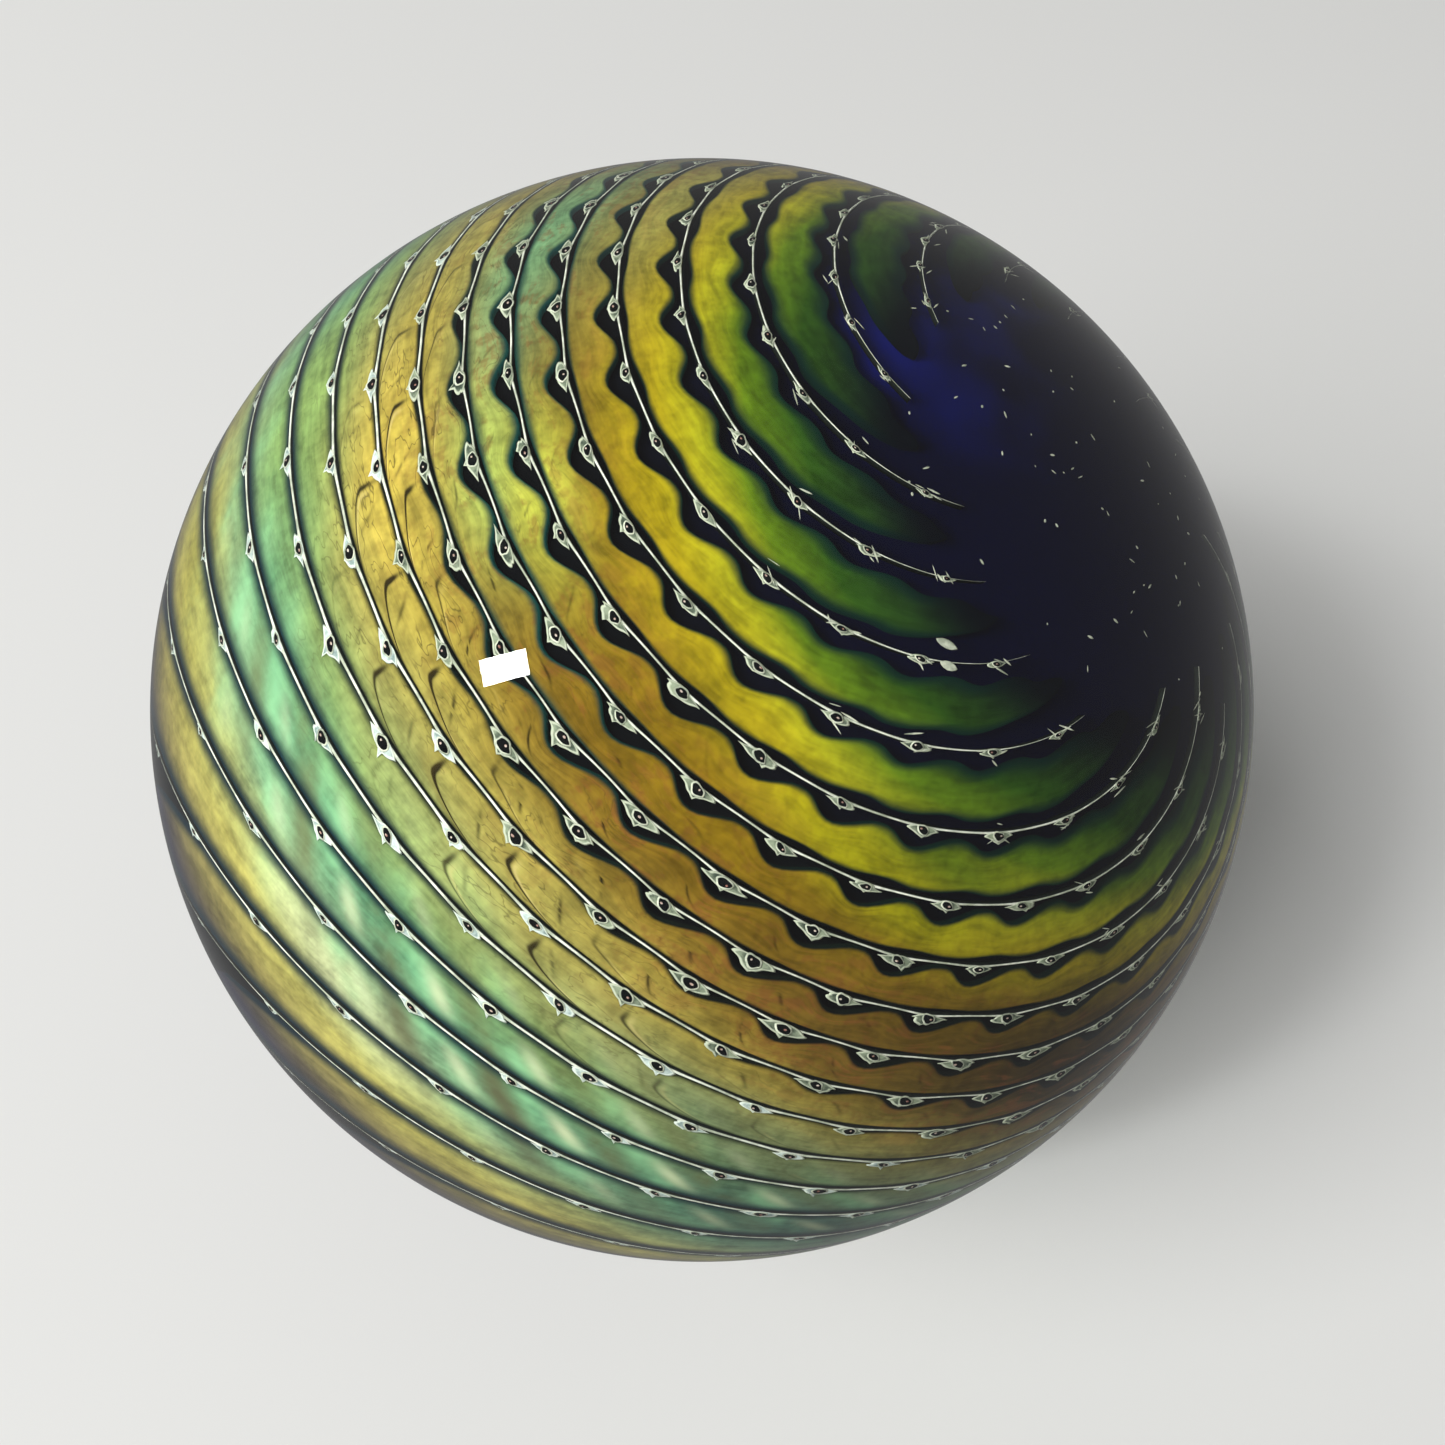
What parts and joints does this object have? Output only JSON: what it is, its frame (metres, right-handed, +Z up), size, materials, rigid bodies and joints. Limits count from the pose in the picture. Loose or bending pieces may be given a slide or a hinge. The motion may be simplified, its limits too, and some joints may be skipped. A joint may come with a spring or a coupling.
{
  "type": "glass marble",
  "caption": "Solid round glass marble: a cobalt blue core wound with swirling green, yellow, amber and teal ribbons and beaded silver threads, cased in clear glass.",
  "frame": {"origin": "centre of the ball", "axes": "+Z up as the marble lies; the pole of its swirl leans from +Z towards +X"},
  "size_m": [0.035, 0.035, 0.035],
  "materials": {
    "clear_glass": "clear, fire-polished, smooth",
    "cobalt_glass": "deep cobalt, nearly opaque",
    "green_glass": "opaque leaf green, streaky",
    "yellow_glass": "opaque yellow, streaky",
    "amber_glass": "fumed amber, streaky",
    "teal_glass": "milky teal, streaky",
    "ochre_glass": "pale ochre, streaky",
    "silver_glass": "silvery white, bright"
  },
  "bodies": {
    "root": {"clear_casing": "clear_glass", "cobalt_core": "cobalt_glass", "green_ribbons": "green_glass", "yellow_ribbons": "yellow_glass", "amber_ribbons": "amber_glass", "teal_ribbons": "teal_glass", "ochre_ribbons": "ochre_glass", "silver_threads": "silver_glass"}
  },
  "joints": []
}
